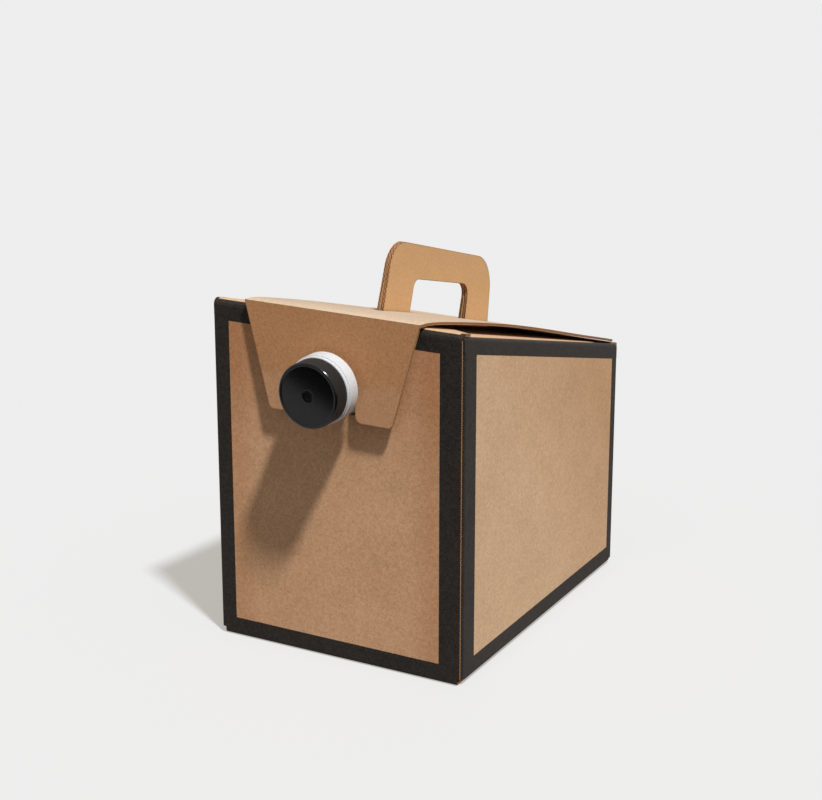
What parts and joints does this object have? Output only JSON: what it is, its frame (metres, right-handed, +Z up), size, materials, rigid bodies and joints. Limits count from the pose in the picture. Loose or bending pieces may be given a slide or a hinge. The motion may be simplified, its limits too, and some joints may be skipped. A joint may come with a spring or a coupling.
{
  "type": "takeaway coffee box",
  "caption": "Wedge-shaped kraft carton with a carry handle through its hinged lid, a front flap hooked behind a screw-capped white spout, and a filled bag inside.",
  "frame": {"origin": "middle of the carton's base, on the floor it stands on", "axes": "+Z up; -Y towards the spout and the tall front; +X to the viewer's right when the front is looked at"},
  "size_m": [0.194, 0.2914, 0.2802],
  "materials": {
    "kraft_board": "uncoated brown kraft corrugated board with black printed fields",
    "bag_film": "metallised film, crinkled",
    "white_plastic": "moulded, satin",
    "liner_foam": "matt foam disc",
    "black_plastic": "moulded, smooth gloss"
  },
  "bodies": {
    "box": {"carton": "kraft_board", "bag": "bag_film", "bag_fitment": "white_plastic", "spout": "white_plastic"},
    "lid": {"lid": "kraft_board"},
    "front_flap": {"front_flap": "kraft_board"},
    "cap_liner": {"cap_liner": "liner_foam"},
    "cap": {"cap": "black_plastic"}
  },
  "joints": [
    {"name": "lid_hinge", "type": "hinge", "parent": "box", "child": "lid", "pos_m": [0, 0.128, 0.1787], "axis": [-1, 0, 0], "range_deg": [0, 110]},
    {"name": "front_flap_hinge", "type": "hinge", "parent": "lid", "child": "front_flap", "pos_m": [0, -0.1322, 0.2534], "axis": [-1, 0, 0], "range_deg": [0, 69]},
    {"name": "cap_lift", "type": "slide", "parent": "box", "child": "cap_liner", "axis": [0, -1, 0], "range_m": [0, 0.012]},
    {"name": "cap_turn", "type": "hinge", "parent": "cap_liner", "child": "cap", "pos_m": [0, -0.155, 0.2033], "axis": [0, -1, 0], "range_deg": [0, 900]}
  ],
  "couplings": [
    {"joint": "front_flap_hinge", "follows": "lid_hinge", "ratio": 0.62},
    {"joint": "cap_lift", "follows": "cap_turn", "m_per_rad": 0.00070028}
  ]
}
